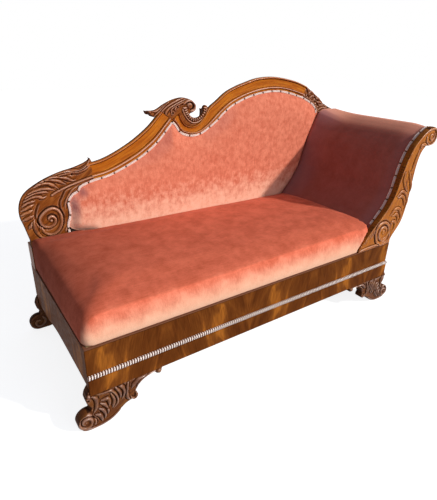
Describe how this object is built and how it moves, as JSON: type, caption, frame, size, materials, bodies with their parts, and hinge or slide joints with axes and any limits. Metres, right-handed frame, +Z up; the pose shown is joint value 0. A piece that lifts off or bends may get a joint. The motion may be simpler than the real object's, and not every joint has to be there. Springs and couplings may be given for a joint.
{
  "type": "recamier",
  "caption": "Upholstered couch with one scrolled arm, a serpentine carved crest rail, a swelled seat and scrolled feet.",
  "frame": {"origin": "on the floor under the middle of the bounding box", "axes": "+X to the right along the front, towards the arm; +Y from the front to the back; +Z up"},
  "size_m": [1.7819, 0.693, 1.052],
  "materials": {
    "mahogany": "french polished, carved",
    "flame_veneer": "french polished, figured veneer",
    "frame_wood": "planed, unfinished",
    "pale_moulding": "satin",
    "velvet": "brushed pile",
    "braid": "woven",
    "jute": "plain weave",
    "steel": "plain wire",
    "nail_metal": "darkened"
  },
  "bodies": {
    "root": {"front_rail": "flame_veneer", "left_rail": "flame_veneer", "right_rail": "flame_veneer", "back_rail": "frame_wood", "front_apron": "flame_veneer", "rope_moulding": "pale_moulding", "seat_battens": "frame_wood", "corner_blocks": "frame_wood", "corner_screws": "steel", "foot_front_left": "mahogany", "foot_front_right": "mahogany", "foot_back_left": "mahogany", "foot_back_right": "mahogany", "crest_scroll": "mahogany", "crest_rail_low": "mahogany", "crest_rail_high": "mahogany", "crest_shell": "mahogany", "crest_leaf": "mahogany", "back_post_left": "mahogany", "back_stile": "frame_wood", "back_bottom_rail": "frame_wood", "back_webbing": "jute", "back_hessian": "jute", "back_pad": "velvet", "back_cover": "velvet", "back_gimp": "braid", "back_gimp_nails": "nail_metal", "arm_facade": "mahogany", "arm_back_board": "frame_wood", "arm_top_rail": "frame_wood", "arm_tack_rail": "frame_wood", "arm_webbing": "jute", "arm_pad": "velvet", "arm_cover": "velvet", "arm_gimp": "braid", "arm_gimp_nails": "nail_metal", "seat_webbing": "jute", "seat_springs": "steel", "seat_hessian": "jute", "seat_cushion": "velvet"}
  },
  "joints": []
}
